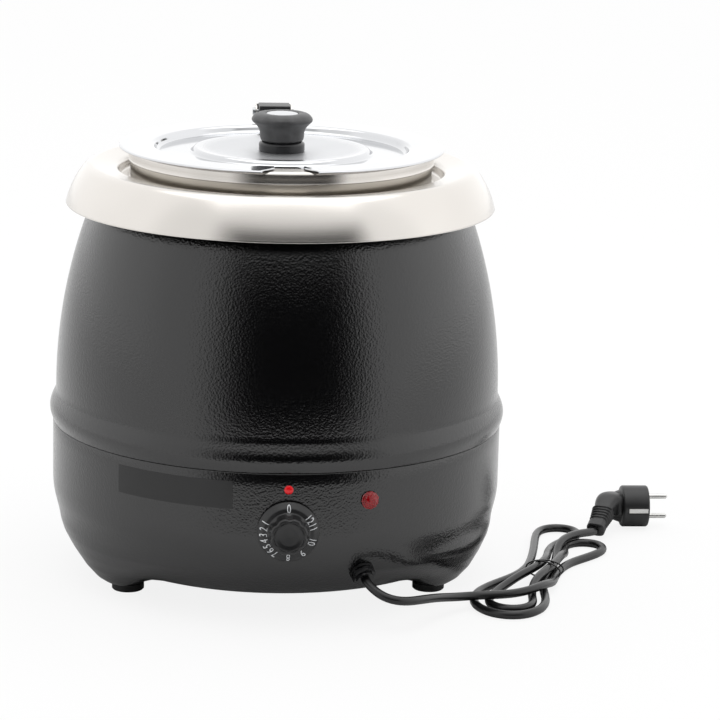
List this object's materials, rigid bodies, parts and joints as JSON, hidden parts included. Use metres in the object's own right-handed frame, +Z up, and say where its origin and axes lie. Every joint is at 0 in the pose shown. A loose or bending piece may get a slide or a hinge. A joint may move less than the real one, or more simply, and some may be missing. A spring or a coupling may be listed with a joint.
{
  "type": "soup kettle",
  "caption": "Round black electric soup kettle with a polished ring, lift-out inset pot, hinged notched lid, thermostat dial and a hanked mains lead with an angled plug.",
  "frame": {"origin": "on the floor under the kettle, at the centre of its bounding box without the mains lead; the kettle's own axis stands 8.4 mm behind it, because the dial sticks out at the front", "axes": "+Z up, front with the dial towards -Y, lid hinge towards +Y, mains lead leaving towards +X"},
  "size_m": [0.579, 0.4186, 0.4087],
  "materials": {
    "black_enamel": "hammered gloss black stove enamel on steel sheet",
    "plated_steel": "zinc-plated steel sheet",
    "foot_rubber": "moulded black rubber",
    "zinc_hardware": "bright zinc-plated turned and pressed steel",
    "drawn_stainless": "satin stainless steel, deep drawn",
    "polished_stainless": "bright polished stainless steel, pressed and spun",
    "cast_aluminium": "cast aluminium, as cast",
    "element_sheath": "heat-tinted steel element tube",
    "cream_moulding": "pale heat-resistant moulding",
    "copper_tube": "drawn copper bulb and capillary",
    "brass_screw": "turned brass",
    "dark_phenolic": "compression-moulded dark phenolic",
    "silicone_leads": "silicone-insulated leads",
    "red_lens": "clear red moulded lens",
    "red_marker": "solid red moulded button",
    "label_film": "plain dark polyester film, bare",
    "black_nylon": "moulded black nylon",
    "cord_sheath": "extruded black cord sheath",
    "plug_moulding": "satin black moulded plug",
    "plug_nickel": "nickel-plated contacts",
    "dial_plastic": "moulded charcoal plastic, satin",
    "dial_cap_plastic": "moulded grey plastic cap",
    "knob_phenolic": "moulded dark grey phenolic, satin",
    "insert_aluminium": "turned aluminium disc"
  },
  "bodies": {
    "kettle": {"base_shell": "black_enamel", "base_plate": "plated_steel", "rubber_feet": "foot_rubber", "foot_screws": "zinc_hardware", "foot_nuts": "zinc_hardware", "body_shell": "black_enamel", "water_pan": "drawn_stainless", "top_ring": "polished_stainless", "ring_nuts": "zinc_hardware", "tie_rods": "zinc_hardware", "tie_nuts": "zinc_hardware", "heater_plate": "cast_aluminium", "heating_element": "element_sheath", "element_clamp": "plated_steel", "clamp_nut": "zinc_hardware", "thermostat_body": "cream_moulding", "thermostat_screws": "zinc_hardware", "sensing_bulb": "copper_tube", "bulb_clip": "plated_steel", "thermal_cutout": "dark_phenolic", "terminal_block": "cream_moulding", "earth_screw": "brass_screw", "inner_leads": "silicone_leads", "lamp_lens": "red_lens", "lamp_body": "cream_moulding", "lamp_nut": "cream_moulding", "dial_marker": "red_marker", "bare_label": "label_film", "cord_gland": "black_nylon", "gland_locknut": "black_nylon", "power_cord": "cord_sheath", "cord_hank": "cord_sheath", "cord_tail": "cord_sheath", "hank_tie": "black_nylon", "plug_body": "plug_moulding", "plug_sleeve": "plug_moulding", "plug_pins": "plug_nickel", "plug_earth_strips": "plug_nickel"},
    "dial": {"dial_shaft": "zinc_hardware", "dial_clip": "zinc_hardware", "dial_knob": "dial_plastic", "dial_cap": "dial_cap_plastic"},
    "pot": {"inset_pot": "drawn_stainless"},
    "collar": {"lid_collar": "polished_stainless", "hinge_bracket": "polished_stainless", "bracket_rivets": "zinc_hardware", "hinge_pin": "zinc_hardware"},
    "lid": {"lid": "polished_stainless", "hinge_block": "dark_phenolic", "block_rivets": "zinc_hardware", "knob_collar": "knob_phenolic", "lid_knob": "knob_phenolic", "knob_insert": "insert_aluminium", "knob_screw": "zinc_hardware", "knob_washer": "zinc_hardware"}
  },
  "joints": [
    {"name": "dial_turn", "type": "hinge", "parent": "kettle", "child": "dial", "pos_m": [0, -0.18993, 0.088], "axis": [0, 1, 0], "range_deg": [0, 305]},
    {"name": "pot_lift", "type": "slide", "parent": "kettle", "child": "pot", "axis": [0, 0, 1], "range_m": [0, 0.24]},
    {"name": "collar_lift", "type": "slide", "parent": "pot", "child": "collar", "axis": [0, 0, 1], "range_m": [0, 0.06]},
    {"name": "lid_hinge", "type": "hinge", "parent": "collar", "child": "lid", "pos_m": [0, 0.15036, 0.3883], "axis": [-1, 0, 0], "range_deg": [0, 100]}
  ]
}
